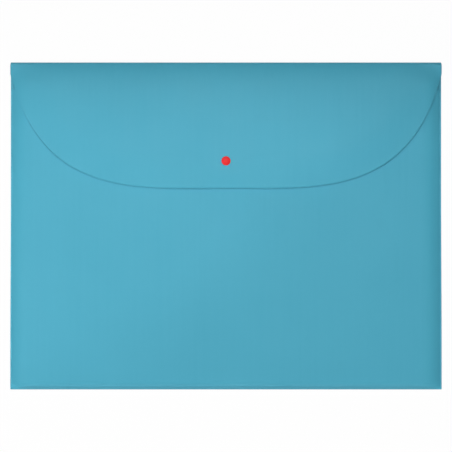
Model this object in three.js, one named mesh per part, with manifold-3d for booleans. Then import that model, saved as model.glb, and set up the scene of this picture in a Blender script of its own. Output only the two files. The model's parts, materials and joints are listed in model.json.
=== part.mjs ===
// A plastic document wallet: one scored sheet folded into a pocket with a broad rounded flap,
// its sides welded, and closed by a small press stud. It lies on its back, sprung open by a thin
// sheaf of paper. Millimetres, +Z up out of the front, +Y towards the top fold, and the origin
// under the middle of the back panel.

import * as THREE from 'three';
import { mergeVertices } from 'three/addons/utils/BufferGeometryUtils.js';
import Module from 'manifold-3d';

const wasm = await Module();
wasm.setup();

// The sheet and the folded outline
const FOLDER_WIDTH = 330;
const FOLDER_HEIGHT = 250;
const SHEET = 0.5;

// The pocket
const POCKET_LIFT = 4.3;
const POCKET_BOW = 0.85;
const BOW_RUN = 120;
const WELD_WIDTH = 1.2;
const WELD_ROUND = 0.35;
const FLANGE_WIDTH = 1.7;
const SIDE_SLOPE = 15;
const SLOPE_LEAD = 1.1;
const SLOPE_POWER = 3;
const MOUTH_DROP = 20;
const BASE_WIDTH = 3.7;

// The creases: each panel stops a little short of the crease line, where the score thins the sheet
const SCORE_HALF = 0.3;
const BACK_BEND = 1;
const FOLD_BEND = 2.4;
const FOLD_HEIGHT = 3.6;

// The flap's outline: it is a little narrower than the pocket, and its edge is given in distances
// below the top fold and in from its own side
const FLAP_INSET = 0.5;
const FLAP_DEPTH = 96.3;
const SHOULDER_DEPTH = 8.9;
const SIDE_LEAN = 24.2;
const SIDE_PULL = 95.2;
const TIP_PULL = 70.8;

// The flap's form over the pocket
const FLAP_GAP = 0.45;
const EDGE_RUN = 26;
const CROWN_RUN = 70;
const CROWN_POWER = 6;
const FOLD_RUN = 15;
const LAND_RADIUS = 9;
const LAND_BLEND = 12;

// The press stud: a cap riveted through the flap to a socket, and a stud riveted through the front
const SNAP_DROP = 75.4;
const SEAT_GAP = 0.08;
const RUNNING_GAP = 0.12;
const HOLE_CLEARANCE = 0.2;
const RIVET_FLARE = 0.4;
const RIVET_HEAD = 0.25;
const CAP_DIAMETER = 7;
const CAP_RIM = 0.45;
const CAP_RISE = 1.1;
const CAP_POST_DIAMETER = 2.2;
const SOCKET_DIAMETER = 7.6;
const SOCKET_WEB = 0.4;
const STUD_FLANGE_DIAMETER = 7.6;
const STUD_FLANGE = 0.4;
const STUD_RISE = 1;
const STUD_HEAD_DIAMETER = 4.2;
const STUD_HEAD_HEIGHT = 0.4;
const SNAP_BITE = 0.15;
const BACKING_DIAMETER = 7;
const BACKING_THICKNESS = 0.7;
const BACKING_POST_DIAMETER = 1.4;

// How finely curved forms are divided
const ARC_STEPS = 5;
const SLOPE_STEPS = 7;
const PANEL_STEPS = 6;
const PANEL_ROWS = 14;
const STRIP_ROWS = 3;
const FLAP_HALF_COLUMNS = 22;
const FLAP_ROWS = 20;
const ROW_CROWDING = 1.5;
const ROUND_STEPS = 36;

// Places that follow from the sizes
const HALF_WIDTH = FOLDER_WIDTH / 2;
const FLAP_HALF_WIDTH = HALF_WIDTH - FLAP_INSET;
const HALF_SHEET = SHEET / 2;
const TOP_Y = FOLDER_HEIGHT / 2;
const BOTTOM_Y = -FOLDER_HEIGHT / 2;
const MOUTH_Y = TOP_Y - MOUTH_DROP;
const PANEL_HALF_WIDTH = HALF_WIDTH - WELD_WIDTH;
const SLOPE_FOOT_X = HALF_WIDTH - FLANGE_WIDTH;
const SLOPE_HEAD_X = SLOPE_FOOT_X - SIDE_SLOPE;
const BASE_CREASE_Y = BOTTOM_Y + BASE_WIDTH;
const SNAP_Y = TOP_Y - SNAP_DROP;

// Heights: the outer face of the pocket's crown, and the flap over the closed press stud
const CROWN_FACE = SHEET + POCKET_LIFT + POCKET_BOW + SHEET;
const STUD_STACK = SEAT_GAP + STUD_FLANGE + STUD_RISE;
const SOCKET_STACK = RUNNING_GAP + RIVET_HEAD + SEAT_GAP + SOCKET_WEB + SEAT_GAP;
const SNAP_UNDERSIDE = CROWN_FACE + STUD_STACK + SOCKET_STACK;

// The flap's slope where it leaves the fold, away from its sides
const LEAVE_SLOPE = CROWN_POWER * (SNAP_UNDERSIDE - FOLD_HEIGHT) / CROWN_RUN;

// Centres of the two bends at the top, in y and z
const SPINE_Y = TOP_Y - HALF_SHEET;
const FOLD_Z = FOLD_HEIGHT + HALF_SHEET;
const BACK_BEND_CENTRE = new THREE.Vector2(SPINE_Y - BACK_BEND, HALF_SHEET + BACK_BEND);
const FOLD_BEND_CENTRE = new THREE.Vector2(SPINE_Y - FOLD_BEND, FOLD_Z - FOLD_BEND);
const EIGHTH_TURN = Math.PI / 4;
const QUARTER_TURN = Math.PI / 2;
const BACK_SCORE_TURN = SCORE_HALF / BACK_BEND;
const FOLD_SCORE_TURN = SCORE_HALF / FOLD_BEND;

const polypropylene = new THREE.MeshStandardMaterial({ color: 0x55abc6, roughness: 0.5, metalness: 0 });
const redPlastic = new THREE.MeshStandardMaterial({ color: 0xe22d2f, roughness: 0.35, metalness: 0 });

// Runs from 0 to 1 with a level start and end.
function smooth(share) {
  const held = Math.min(1, Math.max(0, share));
  return held * held * (3 - 2 * held);
}

// Runs from 0 to 1: steep soon after its start, and level at its end.
function rollOff(share) {
  const held = Math.min(1, Math.max(0, share));
  return 1 - (1 - held ** SLOPE_LEAD) ** SLOPE_POWER;
}

function mix(from, to, share) {
  return from + (to - from) * share;
}

// Even steps from one value to another, both ends included.
function steps(from, to, count) {
  return Array.from({ length: count + 1 }, (unused, index) => mix(from, to, index / count));
}

function named(name, geometry, material) {
  const mesh = new THREE.Mesh(geometry, material);
  mesh.name = name;
  return mesh;
}

// Keeps only positions, with shared corners merged, so that the surface is closed.
function closed(geometry) {
  geometry.deleteAttribute('normal');
  geometry.deleteAttribute('uv');
  return mergeVertices(geometry, 1e-5);
}

function solidOf(geometry) {
  const merged = closed(geometry);
  return new wasm.Manifold(new wasm.Mesh({
    numProp: 3,
    vertProperties: new Float32Array(merged.attributes.position.array),
    triVerts: new Uint32Array(merged.index.array),
  }));
}

function geometryOf(solid) {
  const mesh = solid.getMesh();
  const geometry = new THREE.BufferGeometry();
  geometry.setAttribute('position', new THREE.BufferAttribute(new Float32Array(mesh.vertProperties), 3));
  geometry.setIndex(new THREE.BufferAttribute(new Uint32Array(mesh.triVerts), 1));
  geometry.computeVertexNormals();
  return geometry;
}

function cut(geometry, tools) {
  return geometryOf(tools.reduce((solid, tool) => solid.subtract(solidOf(tool)), solidOf(geometry)));
}

// A profile drawn in (y, z), drawn out along x.
function drawnAlongX(profile, from, to) {
  const options = { depth: to - from, bevelEnabled: false, curveSegments: ARC_STEPS };
  const geometry = new THREE.ExtrudeGeometry(profile, options);
  geometry.translate(0, 0, from);
  const axes = [new THREE.Vector3(0, 1, 0), new THREE.Vector3(0, 0, 1), new THREE.Vector3(1, 0, 0)];
  geometry.applyMatrix4(new THREE.Matrix4().makeBasis(...axes));
  return geometry;
}

// A profile drawn in (x, z), drawn out along y.
function drawnAlongY(profile, from, to) {
  const options = { depth: to - from, bevelEnabled: false, curveSegments: ARC_STEPS };
  const geometry = new THREE.ExtrudeGeometry(profile, options);
  geometry.translate(0, 0, -to);
  geometry.rotateX(QUARTER_TURN);
  return geometry;
}

// A profile in (radius, height), turned about the upright axis.
function turned(points) {
  const geometry = new THREE.LatheGeometry(points, ROUND_STEPS);
  geometry.rotateX(QUARTER_TURN);
  return closed(geometry);
}

// A turned ring: its profile closes on itself.
function turnedRing(points) {
  return turned([...points, points[0]]);
}

function postHole(radius) {
  const depth = 2 * SNAP_UNDERSIDE;
  const geometry = new THREE.CylinderGeometry(radius, radius, depth, ROUND_STEPS);
  geometry.rotateX(QUARTER_TURN);
  geometry.translate(0, SNAP_Y, SNAP_UNDERSIDE);
  return geometry;
}

// The sheet's normal at one point of a grid, from the points beside it.
function gridNormal(grid, row, column) {
  const rowAbove = grid[Math.min(row + 1, grid.length - 1)][column];
  const rowBelow = grid[Math.max(row - 1, 0)][column];
  const right = grid[row][Math.min(column + 1, grid[row].length - 1)];
  const left = grid[row][Math.max(column - 1, 0)];
  const across = right.clone().sub(left);
  const along = rowAbove.clone().sub(rowBelow);
  return across.cross(along).normalize();
}

// A closed sheet of even gauge, half of it on each side of a grid of points on its mid-surface.
// Columns run along +x, and rows run so that their cross product gives the outer face.
function sheetGeometry(grid) {
  const rows = grid.length;
  const columns = grid[0].length;
  const positions = [];
  for (const offset of [HALF_SHEET, -HALF_SHEET]) {
    for (let row = 0; row < rows; row++) {
      for (let column = 0; column < columns; column++) {
        const normal = gridNormal(grid, row, column);
        const point = grid[row][column].clone().addScaledVector(normal, offset);
        positions.push(point.x, point.y, point.z);
      }
    }
  }
  const outer = (row, column) => row * columns + column;
  const inner = (row, column) => (rows + row) * columns + column;
  const triangles = [];
  for (let row = 0; row < rows - 1; row++) {
    for (let column = 0; column < columns - 1; column++) {
      const corners = [[row, column], [row, column + 1], [row + 1, column + 1], [row + 1, column]];
      const [a, b, c, d] = corners.map((corner) => outer(...corner));
      const [e, f, g, h] = corners.map((corner) => inner(...corner));
      triangles.push(a, b, c, a, c, d);
      triangles.push(e, g, f, e, h, g);
    }
  }
  const closeEdge = (from, to) => {
    const [a, b] = [outer(...from), outer(...to)];
    const [c, d] = [inner(...from), inner(...to)];
    triangles.push(b, a, c, b, c, d);
  };
  for (let column = 0; column < columns - 1; column++) {
    closeEdge([0, column], [0, column + 1]);
    closeEdge([rows - 1, column + 1], [rows - 1, column]);
  }
  for (let row = 0; row < rows - 1; row++) {
    closeEdge([row + 1, 0], [row, 0]);
    closeEdge([row, columns - 1], [row + 1, columns - 1]);
  }
  const geometry = new THREE.BufferGeometry();
  geometry.setAttribute('position', new THREE.Float32BufferAttribute(positions, 3));
  geometry.setIndex(triangles);
  geometry.computeVertexNormals();
  return geometry;
}

// Mid-height of the front panel: flat on the back panel at the welds, then a side slope that is
// steepest beside them, then a low crown that grows from the base crease towards the mouth.
function frontHeight(x, y) {
  const inward = rollOff((SLOPE_FOOT_X - Math.abs(x)) / SIDE_SLOPE);
  const across = Math.cos(QUARTER_TURN * Math.min(1, Math.abs(x) / SLOPE_HEAD_X)) ** 2;
  const crown = POCKET_BOW * across * smooth((y - BASE_CREASE_Y) / BOW_RUN);
  return SHEET + HALF_SHEET + inward * (POCKET_LIFT + crown);
}

// Stations across the pocket: close together on the side slopes, wide over the crown.
function pocketStations() {
  const crown = steps(0, SLOPE_HEAD_X, PANEL_STEPS);
  const slope = steps(SLOPE_HEAD_X, SLOPE_FOOT_X, SLOPE_STEPS).slice(1);
  const right = [...crown, ...slope, PANEL_HALF_WIDTH];
  const left = right.slice(1).reverse().map((x) => -x);
  return [...left, ...right];
}

// A flat sheet with its top edge turned up to the back crease, notched at both sides for the welds.
function backPanel() {
  const { x: bendY, y: bendZ } = BACK_BEND_CENTRE;
  const start = -QUARTER_TURN;
  const end = start + EIGHTH_TURN - BACK_SCORE_TURN;
  const profile = new THREE.Shape();
  profile.moveTo(BOTTOM_Y, 0);
  profile.lineTo(bendY, 0);
  profile.absarc(bendY, bendZ, BACK_BEND + HALF_SHEET, start, end, false);
  profile.absarc(bendY, bendZ, BACK_BEND - HALF_SHEET, end, start, true);
  profile.lineTo(BOTTOM_Y, SHEET);
  profile.closePath();
  const notches = [-1, 1].map((side) => {
    const box = new THREE.BoxGeometry(2 * WELD_WIDTH, 2 * (MOUTH_Y - BOTTOM_Y), 4 * SHEET);
    box.translate(side * HALF_WIDTH, BOTTOM_Y, 0);
    return box;
  });
  return cut(drawnAlongX(profile, -HALF_WIDTH, HALF_WIDTH), notches);
}

function frontPanel() {
  const rows = steps(BASE_CREASE_Y + SCORE_HALF, MOUTH_Y, PANEL_ROWS);
  const grid = rows.map((y) => pocketStations().map((x) => new THREE.Vector3(x, y, frontHeight(x, y))));
  return cut(sheetGeometry(grid), [postHole(BACKING_POST_DIAMETER / 2 + HOLE_CLEARANCE)]);
}

// The narrow strip between the two bottom scores. It stands up from the back panel's edge to the
// front panel, and folds flat at the welds.
function baseStrip() {
  const footY = BOTTOM_Y + HALF_SHEET;
  const footZ = SHEET + HALF_SHEET;
  const columns = pocketStations().map((x) => {
    const foot = new THREE.Vector3(x, footY, footZ);
    const head = new THREE.Vector3(x, BASE_CREASE_Y, frontHeight(x, BASE_CREASE_Y));
    const length = head.distanceTo(foot);
    const shares = steps(0, (length - SCORE_HALF) / length, STRIP_ROWS);
    return shares.map((share) => foot.clone().lerp(head, share));
  });
  const rows = columns[0].map((unused, row) => columns.map((column) => column[row]));
  return sheetGeometry(rows);
}

// The bead that the side weld leaves where both sheets melt together.
function weldSeam(side) {
  const inner = side * PANEL_HALF_WIDTH;
  const outer = side * HALF_WIDTH;
  const shoulder = side * (HALF_WIDTH - WELD_ROUND);
  const height = 2 * SHEET;
  const profile = new THREE.Shape();
  profile.moveTo(inner, 0);
  profile.lineTo(shoulder, 0);
  profile.quadraticCurveTo(outer, 0, outer, WELD_ROUND);
  profile.lineTo(outer, height - WELD_ROUND);
  profile.quadraticCurveTo(outer, height, shoulder, height);
  profile.lineTo(inner, height);
  profile.closePath();
  return drawnAlongY(profile, BOTTOM_Y, MOUTH_Y);
}

// The strip between the two top scores: half a bend, a straight back and half a bend.
function spineStrip() {
  const { x: lowY, y: lowZ } = BACK_BEND_CENTRE;
  const { x: highY, y: highZ } = FOLD_BEND_CENTRE;
  const lowTurn = -EIGHTH_TURN + BACK_SCORE_TURN;
  const highTurn = EIGHTH_TURN - FOLD_SCORE_TURN;
  const profile = new THREE.Shape();
  profile.absarc(lowY, lowZ, BACK_BEND + HALF_SHEET, lowTurn, 0, false);
  profile.absarc(highY, highZ, FOLD_BEND + HALF_SHEET, 0, highTurn, false);
  profile.absarc(highY, highZ, FOLD_BEND - HALF_SHEET, highTurn, 0, true);
  profile.absarc(lowY, lowZ, BACK_BEND - HALF_SHEET, 0, lowTurn, true);
  profile.closePath();
  return drawnAlongX(profile, -FLAP_HALF_WIDTH, FLAP_HALF_WIDTH);
}

// Half of the flap's free edge in (x, y), from the right-hand shoulder to the middle.
function flapEdge() {
  return new THREE.CubicBezierCurve(
    new THREE.Vector2(FLAP_HALF_WIDTH, TOP_Y - SHOULDER_DEPTH),
    new THREE.Vector2(FLAP_HALF_WIDTH - SIDE_LEAN, TOP_Y - SHOULDER_DEPTH - SIDE_PULL),
    new THREE.Vector2(TIP_PULL, TOP_Y - FLAP_DEPTH),
    new THREE.Vector2(0, TOP_Y - FLAP_DEPTH),
  );
}

// Distance in plan from a point of the flap to its free edge, the straight shoulder included.
function distanceToEdge(x, y, edgePoints) {
  const point = new THREE.Vector3(Math.abs(x), y, 0);
  const nearest = new THREE.Vector3();
  let least = Infinity;
  for (let index = 1; index < edgePoints.length; index++) {
    const stretch = new THREE.Line3(edgePoints[index - 1], edgePoints[index]);
    stretch.closestPointToPoint(point, true, nearest);
    least = Math.min(least, nearest.distanceTo(point));
  }
  return least;
}

// How far the bend at the fold turns in one column. The flap leaves it level at the sides, and
// sloping up over the pocket's contents everywhere else.
function foldTurn(x) {
  const inward = smooth((FLAP_HALF_WIDTH - Math.abs(x)) / EDGE_RUN);
  return QUARTER_TURN - Math.atan(inward * LEAVE_SLOPE);
}

// A point on the middle of the sheet in the bend at the fold.
function foldPoint(x, turn) {
  const { x: bendY, y: bendZ } = FOLD_BEND_CENTRE;
  return new THREE.Vector3(x, bendY + FOLD_BEND * Math.cos(turn), bendZ + FOLD_BEND * Math.sin(turn));
}

// Mid-height of the flap. It leaves the fold, swells to a crown that clears the press stud, comes
// down close to the pocket along its free edge, and is level round the cap.
function flapHeight(x, y, edgePoints) {
  const { y: startY, z: startZ } = foldPoint(x, foldTurn(x));
  const fromFold = startY - y;
  const foldUnderside = startZ - HALF_SHEET;
  const pocketFace = frontHeight(x, Math.min(y, MOUTH_Y)) + HALF_SHEET;
  const low = mix(foldUnderside, pocketFace + FLAP_GAP, smooth(fromFold / FOLD_RUN));
  const easing = 1 - Math.max(0, 1 - fromFold / CROWN_RUN) ** CROWN_POWER;
  const high = mix(foldUnderside, SNAP_UNDERSIDE, easing);
  const swell = mix(low, high, smooth(distanceToEdge(x, y, edgePoints) / EDGE_RUN));
  const fromSnap = Math.hypot(x, y - SNAP_Y);
  return mix(SNAP_UNDERSIDE, swell, smooth((fromSnap - LAND_RADIUS) / LAND_BLEND)) + HALF_SHEET;
}

// The flap: half a bend at the fold, then a curved sheet out to the rounded free edge. Its rows lie
// closer together near the fold, where it curves most.
function flapPanel() {
  const edge = flapEdge().getPoints(FLAP_HALF_COLUMNS);
  const right = edge.map((point) => new THREE.Vector3(point.x, point.y, 0));
  const left = right.slice(0, -1).map((point) => new THREE.Vector3(-point.x, point.y, 0));
  const edgePoints = [new THREE.Vector3(FLAP_HALF_WIDTH, FOLD_BEND_CENTRE.x, 0), ...right];
  const ends = [...left, ...right.slice().reverse()];
  const scoreEdge = EIGHTH_TURN + FOLD_SCORE_TURN;
  const bendShares = steps(0, 1, ARC_STEPS).slice(0, -1);
  const bendRows = bendShares.map((share) => ends.map(
    ({ x }) => foldPoint(x, mix(scoreEdge, foldTurn(x), share)),
  ));
  const sheetShares = steps(0, 1, FLAP_ROWS).map((share) => share ** ROW_CROWDING);
  const sheetRows = sheetShares.map((share) => ends.map((end) => {
    const y = mix(foldPoint(end.x, foldTurn(end.x)).y, end.y, share);
    return new THREE.Vector3(end.x, y, flapHeight(end.x, y, edgePoints));
  }));
  const grid = [...bendRows, ...sheetRows].reverse();
  return cut(sheetGeometry(grid), [postHole(CAP_POST_DIAMETER / 2 + HOLE_CLEARANCE)]);
}

// The cap: a low dome with a rounded rim, on a post that passes the flap and the socket's web and
// is riveted over below it. Heights are above the underside of the rim.
function snapCap() {
  const rim = CAP_DIAMETER / 2;
  const post = CAP_POST_DIAMETER / 2;
  const headTop = -(SEAT_GAP + SHEET + SEAT_GAP + SOCKET_WEB + SEAT_GAP);
  const profile = new THREE.Path();
  profile.moveTo(0, headTop - RIVET_HEAD);
  profile.lineTo(post + RIVET_FLARE, headTop - RIVET_HEAD);
  profile.lineTo(post + RIVET_FLARE, headTop);
  profile.lineTo(post, headTop);
  profile.lineTo(post, 0);
  profile.lineTo(rim - CAP_RIM / 2, 0);
  profile.quadraticCurveTo(rim, 0, rim, CAP_RIM / 2);
  profile.quadraticCurveTo(rim, CAP_RIM, rim - CAP_RIM, CAP_RIM + CAP_RIM / 4);
  profile.quadraticCurveTo(rim / 2, CAP_RISE, 0, CAP_RISE);
  return turned(profile.getPoints(ARC_STEPS));
}

// The socket: a ring under the flap with a web at its top and a lip that the stud's head snaps past.
// Heights are above the outer face of the stud's flange.
function snapSocket() {
  const outer = SOCKET_DIAMETER / 2;
  const head = STUD_HEAD_DIAMETER / 2;
  const bore = head + HOLE_CLEARANCE;
  const lip = head - SNAP_BITE;
  const hole = CAP_POST_DIAMETER / 2 + HOLE_CLEARANCE;
  const lipTop = STUD_RISE - STUD_HEAD_HEIGHT - RUNNING_GAP;
  const webBottom = STUD_RISE + RUNNING_GAP + RIVET_HEAD + SEAT_GAP;
  const webTop = webBottom + SOCKET_WEB;
  return turnedRing([
    new THREE.Vector2(hole, webTop),
    new THREE.Vector2(hole, webBottom),
    new THREE.Vector2(bore, webBottom),
    new THREE.Vector2(bore, lipTop),
    new THREE.Vector2(lip, lipTop),
    new THREE.Vector2(lip, RUNNING_GAP),
    new THREE.Vector2(outer, RUNNING_GAP),
    new THREE.Vector2(outer, webTop),
  ]);
}

// The stud: a thin flange with a hollow neck and a wider head, counterbored for its rivet.
// Heights are above the underside of the flange.
function snapStud() {
  const flange = STUD_FLANGE_DIAMETER / 2;
  const head = STUD_HEAD_DIAMETER / 2;
  const neck = head - SNAP_BITE - RUNNING_GAP;
  const bore = BACKING_POST_DIAMETER / 2 + HOLE_CLEARANCE;
  const counterbore = BACKING_POST_DIAMETER / 2 + RIVET_FLARE + HOLE_CLEARANCE;
  const top = STUD_FLANGE + STUD_RISE;
  const floor = top - RIVET_HEAD - 2 * SEAT_GAP;
  const headBottom = top - STUD_HEAD_HEIGHT;
  const chamfer = SNAP_BITE;
  return turnedRing([
    new THREE.Vector2(bore, 0),
    new THREE.Vector2(flange, 0),
    new THREE.Vector2(flange, STUD_FLANGE),
    new THREE.Vector2(neck, STUD_FLANGE),
    new THREE.Vector2(neck, headBottom),
    new THREE.Vector2(head, headBottom),
    new THREE.Vector2(head, top - chamfer),
    new THREE.Vector2(head - chamfer, top),
    new THREE.Vector2(counterbore, top),
    new THREE.Vector2(counterbore, floor),
    new THREE.Vector2(bore, floor),
  ]);
}

// The backing disc inside the pocket, with the post that holds the stud. Heights are above the
// disc's face against the panel.
function snapStudPost() {
  const disc = BACKING_DIAMETER / 2;
  const post = BACKING_POST_DIAMETER / 2;
  const round = BACKING_THICKNESS / 3;
  const floor = SEAT_GAP + SHEET + SEAT_GAP + STUD_FLANGE + STUD_RISE - RIVET_HEAD - 2 * SEAT_GAP;
  const profile = new THREE.Path();
  profile.moveTo(0, -BACKING_THICKNESS);
  profile.lineTo(disc - round, -BACKING_THICKNESS);
  profile.quadraticCurveTo(disc, -BACKING_THICKNESS, disc, round - BACKING_THICKNESS);
  profile.lineTo(disc, 0);
  profile.lineTo(post, 0);
  profile.lineTo(post, floor + SEAT_GAP);
  profile.lineTo(post + RIVET_FLARE, floor + SEAT_GAP);
  profile.lineTo(post + RIVET_FLARE, floor + SEAT_GAP + RIVET_HEAD);
  profile.lineTo(0, floor + SEAT_GAP + RIVET_HEAD);
  return turned(profile.getPoints(ARC_STEPS));
}

// A press stud piece on the snap's axis, with its own datum face at the given height.
function onSnapAxis(mesh, height) {
  mesh.position.set(0, SNAP_Y, height);
  return mesh;
}

const pocket = new THREE.Group();
pocket.add(named('back_panel', backPanel(), polypropylene));
pocket.add(named('front_panel', frontPanel(), polypropylene));
pocket.add(named('base_strip', baseStrip(), polypropylene));
pocket.add(named('left_weld_seam', weldSeam(-1), polypropylene));
pocket.add(named('right_weld_seam', weldSeam(1), polypropylene));
pocket.add(onSnapAxis(named('snap_stud', snapStud(), redPlastic), CROWN_FACE + SEAT_GAP));
pocket.add(onSnapAxis(named('snap_stud_post', snapStudPost(), redPlastic), CROWN_FACE - SHEET - SEAT_GAP));

const spine = new THREE.Group();
spine.add(named('spine_strip', spineStrip(), polypropylene));

const flap = new THREE.Group();
const flangeFace = CROWN_FACE + SEAT_GAP + STUD_FLANGE;
flap.add(named('flap_panel', flapPanel(), polypropylene));
flap.add(onSnapAxis(named('snap_cap', snapCap(), redPlastic), SNAP_UNDERSIDE + SHEET + SEAT_GAP));
flap.add(onSnapAxis(named('snap_socket', snapSocket(), redPlastic), flangeFace));

const folder = new THREE.Group();
folder.add(pocket, spine, flap);

export default folder;
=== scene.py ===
# %% [markdown]
# # A plastic document wallet
# One sheet of teal polypropylene is cut, scored and folded into a pocket with a broad rounded flap.
# Its sides are welded, and a small red press stud holds the flap down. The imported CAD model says
# where each piece lies, so the script starts by loading it and works in the same frame: metres, +Z
# up out of the front, +Y towards the top fold, and the origin under the middle of the back.

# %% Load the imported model
import json
import math

import bpy
import numpy as np
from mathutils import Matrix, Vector


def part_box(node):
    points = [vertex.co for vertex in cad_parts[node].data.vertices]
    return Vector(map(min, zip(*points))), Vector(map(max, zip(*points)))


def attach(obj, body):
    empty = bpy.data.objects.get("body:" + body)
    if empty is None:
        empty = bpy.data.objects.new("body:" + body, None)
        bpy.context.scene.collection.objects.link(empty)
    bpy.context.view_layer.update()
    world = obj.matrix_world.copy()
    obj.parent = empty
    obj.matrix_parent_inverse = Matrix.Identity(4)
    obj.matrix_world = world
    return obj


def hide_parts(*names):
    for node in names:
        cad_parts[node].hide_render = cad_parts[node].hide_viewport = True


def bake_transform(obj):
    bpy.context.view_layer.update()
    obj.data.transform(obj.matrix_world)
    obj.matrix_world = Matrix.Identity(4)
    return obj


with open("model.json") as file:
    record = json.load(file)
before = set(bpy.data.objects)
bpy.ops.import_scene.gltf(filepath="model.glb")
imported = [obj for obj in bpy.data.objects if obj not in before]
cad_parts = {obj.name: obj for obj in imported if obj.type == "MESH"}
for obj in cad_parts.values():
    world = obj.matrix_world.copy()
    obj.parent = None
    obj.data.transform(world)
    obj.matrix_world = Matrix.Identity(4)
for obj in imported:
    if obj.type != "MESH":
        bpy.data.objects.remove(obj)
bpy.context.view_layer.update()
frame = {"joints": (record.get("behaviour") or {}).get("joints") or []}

# %% [markdown]
# The wallet is seen from straight above, so the camera looks down -Z with +Y up in the picture. A
# long lens from two metres keeps the sides nearly parallel, as in product pictures. The lens follows
# from the width of the view at the table, so a change of distance keeps the wallet the same size in
# the picture.

# %% Camera
MM = 0.001
VIEW_WIDTH = 345.8 * MM
CAMERA_HEIGHT = 2.0
SENSOR = 36.0

camera_data = bpy.data.cameras.new("camera")
camera_data.sensor_width = SENSOR
camera_data.lens = SENSOR * CAMERA_HEIGHT / VIEW_WIDTH
camera_data.clip_start = 0.1
camera_data.clip_end = 20
camera = bpy.data.objects.new("camera", camera_data)
camera.location = (0, 0, CAMERA_HEIGHT)
bpy.context.scene.collection.objects.link(camera)
bpy.context.scene.camera = camera
print("lens", round(camera_data.lens, 1), "mm")

# %% [markdown]
# Sizes that the CAD model already has are read from it: the boxes of its nodes give the outline
# and the gauge, and its joints lie on the middle of the sheet, half way round each bend. The rest
# are the sheet's driving sizes, written in millimetres.

# %% Sizes of the folded sheet
back_low, back_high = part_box("back_panel")
seam_low, seam_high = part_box("right_weld_seam")
HALF_WIDTH = back_high.x
BOTTOM_Y = back_low.y
MOUTH_Y = seam_high.y
PANEL_HALF_WIDTH = seam_low.x
SHEET = seam_high.z / 2

BACK_BEND = 1.0 * MM
FOLD_BEND = 2.4 * MM
BASE_CREASE_Y = BOTTOM_Y + 3.7 * MM

hinges = {joint["name"]: Vector(joint["pos_m"]) for joint in frame["joints"]}
half_diagonal = math.sqrt(0.5)
BACK_BEND_Y = hinges["spine_fold"].y - BACK_BEND * half_diagonal
BACK_BEND_Z = hinges["spine_fold"].z + BACK_BEND * half_diagonal
FOLD_BEND_Y = hinges["flap_fold"].y - FOLD_BEND * half_diagonal
FOLD_BEND_Z = hinges["flap_fold"].z - FOLD_BEND * half_diagonal
TOP_Y = FOLD_BEND_Y + FOLD_BEND + SHEET / 2
print("sheet", round(SHEET / MM, 2), "mm, height", round((TOP_Y - BOTTOM_Y) / MM, 2), "mm")

# %% [markdown]
# Two easing curves shape most of the sheets. `smooth` runs from 0 to 1 and is level at both ends,
# so two faces that it joins meet without a crease. `roll_off` is steep soon after its start and
# level at its end, like a cushion's side. Small waves are added to the large faces, because a real
# sheet never lies quite flat and a satin finish shows it.

# %% Easing, waves and a mesh from arrays
SLOPE_LEAD = 1.1
SLOPE_POWER = 3
SHARP_ANGLE = math.radians(50)


def smooth(share):
    """3s^2 - 2s^3 of the share s held between 0 and 1: level at both ends."""
    held = np.clip(share, 0, 1)
    return held * held * (3 - 2 * held)


def roll_off(share):
    """1 - (1 - s^lead)^power of the share s held between 0 and 1: steep at first, then level."""
    return 1 - (1 - np.clip(share, 0, 1) ** SLOPE_LEAD) ** SLOPE_POWER


def mix(start, end, share):
    """start + (end - start) * share."""
    return start + (end - start) * share


def bump(distance, half_width):
    """1 at distance 0, falling smoothly to 0 at half_width on either side."""
    return 1 - smooth(np.abs(distance) / half_width)


def waves(x, y):
    """Three long sine waves across the sheet, added up, from about -1 to 1."""
    first = np.sin(x / (23 * MM) + 0.7) * np.cos(y / (31 * MM) - 0.4)
    second = np.sin(x / (11 * MM) - y / (17 * MM) + 1.9)
    third = np.cos(x / (41 * MM) + y / (13 * MM))
    return 0.5 * first + 0.2 * second + 0.3 * third


def make_piece(name, points, faces, marks):
    """A mesh object from an array of points, a list of faces and named values per point."""
    mesh = bpy.data.meshes.new(name)
    mesh.from_pydata(points, [], faces)
    for mark, values in marks.items():
        attribute = mesh.attributes.new(mark, "FLOAT", "POINT")
        attribute.data.foreach_set("value", np.asarray(values, np.float32))
    mesh.polygons.foreach_set("use_smooth", np.ones(len(mesh.polygons), bool))
    mesh.set_sharp_from_angle(angle=SHARP_ANGLE)
    mesh.validate()
    piece = bpy.data.objects.new(name, mesh)
    bpy.context.scene.collection.objects.link(piece)
    print(name, len(points), "points", len(faces), "faces")
    return piece


# %% [markdown]
# A folded sheet is a thin closed shell. Its middle surface is a grid of points; each face of the
# sheet lies half the gauge away along the surface normal, and the cut edges get a small rounded
# nose, as a cutting die leaves them. Where the sheet goes on into the next piece, past a crease,
# the nose has no reach and the end is flat. The Solidify modifier makes such a shell too, and a
# vertex group can thin it at a score, but its rim is flat all the way round.

# %% Sheets from a grid
CUT_NOSE = 0.12 * MM
NOSE_TURNS = np.radians([55, 20, -20, -55])


def unit(vectors):
    """Each vector divided by its length."""
    return vectors / np.maximum(np.linalg.norm(vectors, axis=-1, keepdims=True), 1e-12)


def grid_normals(middle):
    """Cross product of the grid's two tangents, which central differences give."""
    down, across = np.gradient(middle, axis=(0, 1))
    return unit(np.cross(across, down))


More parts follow.
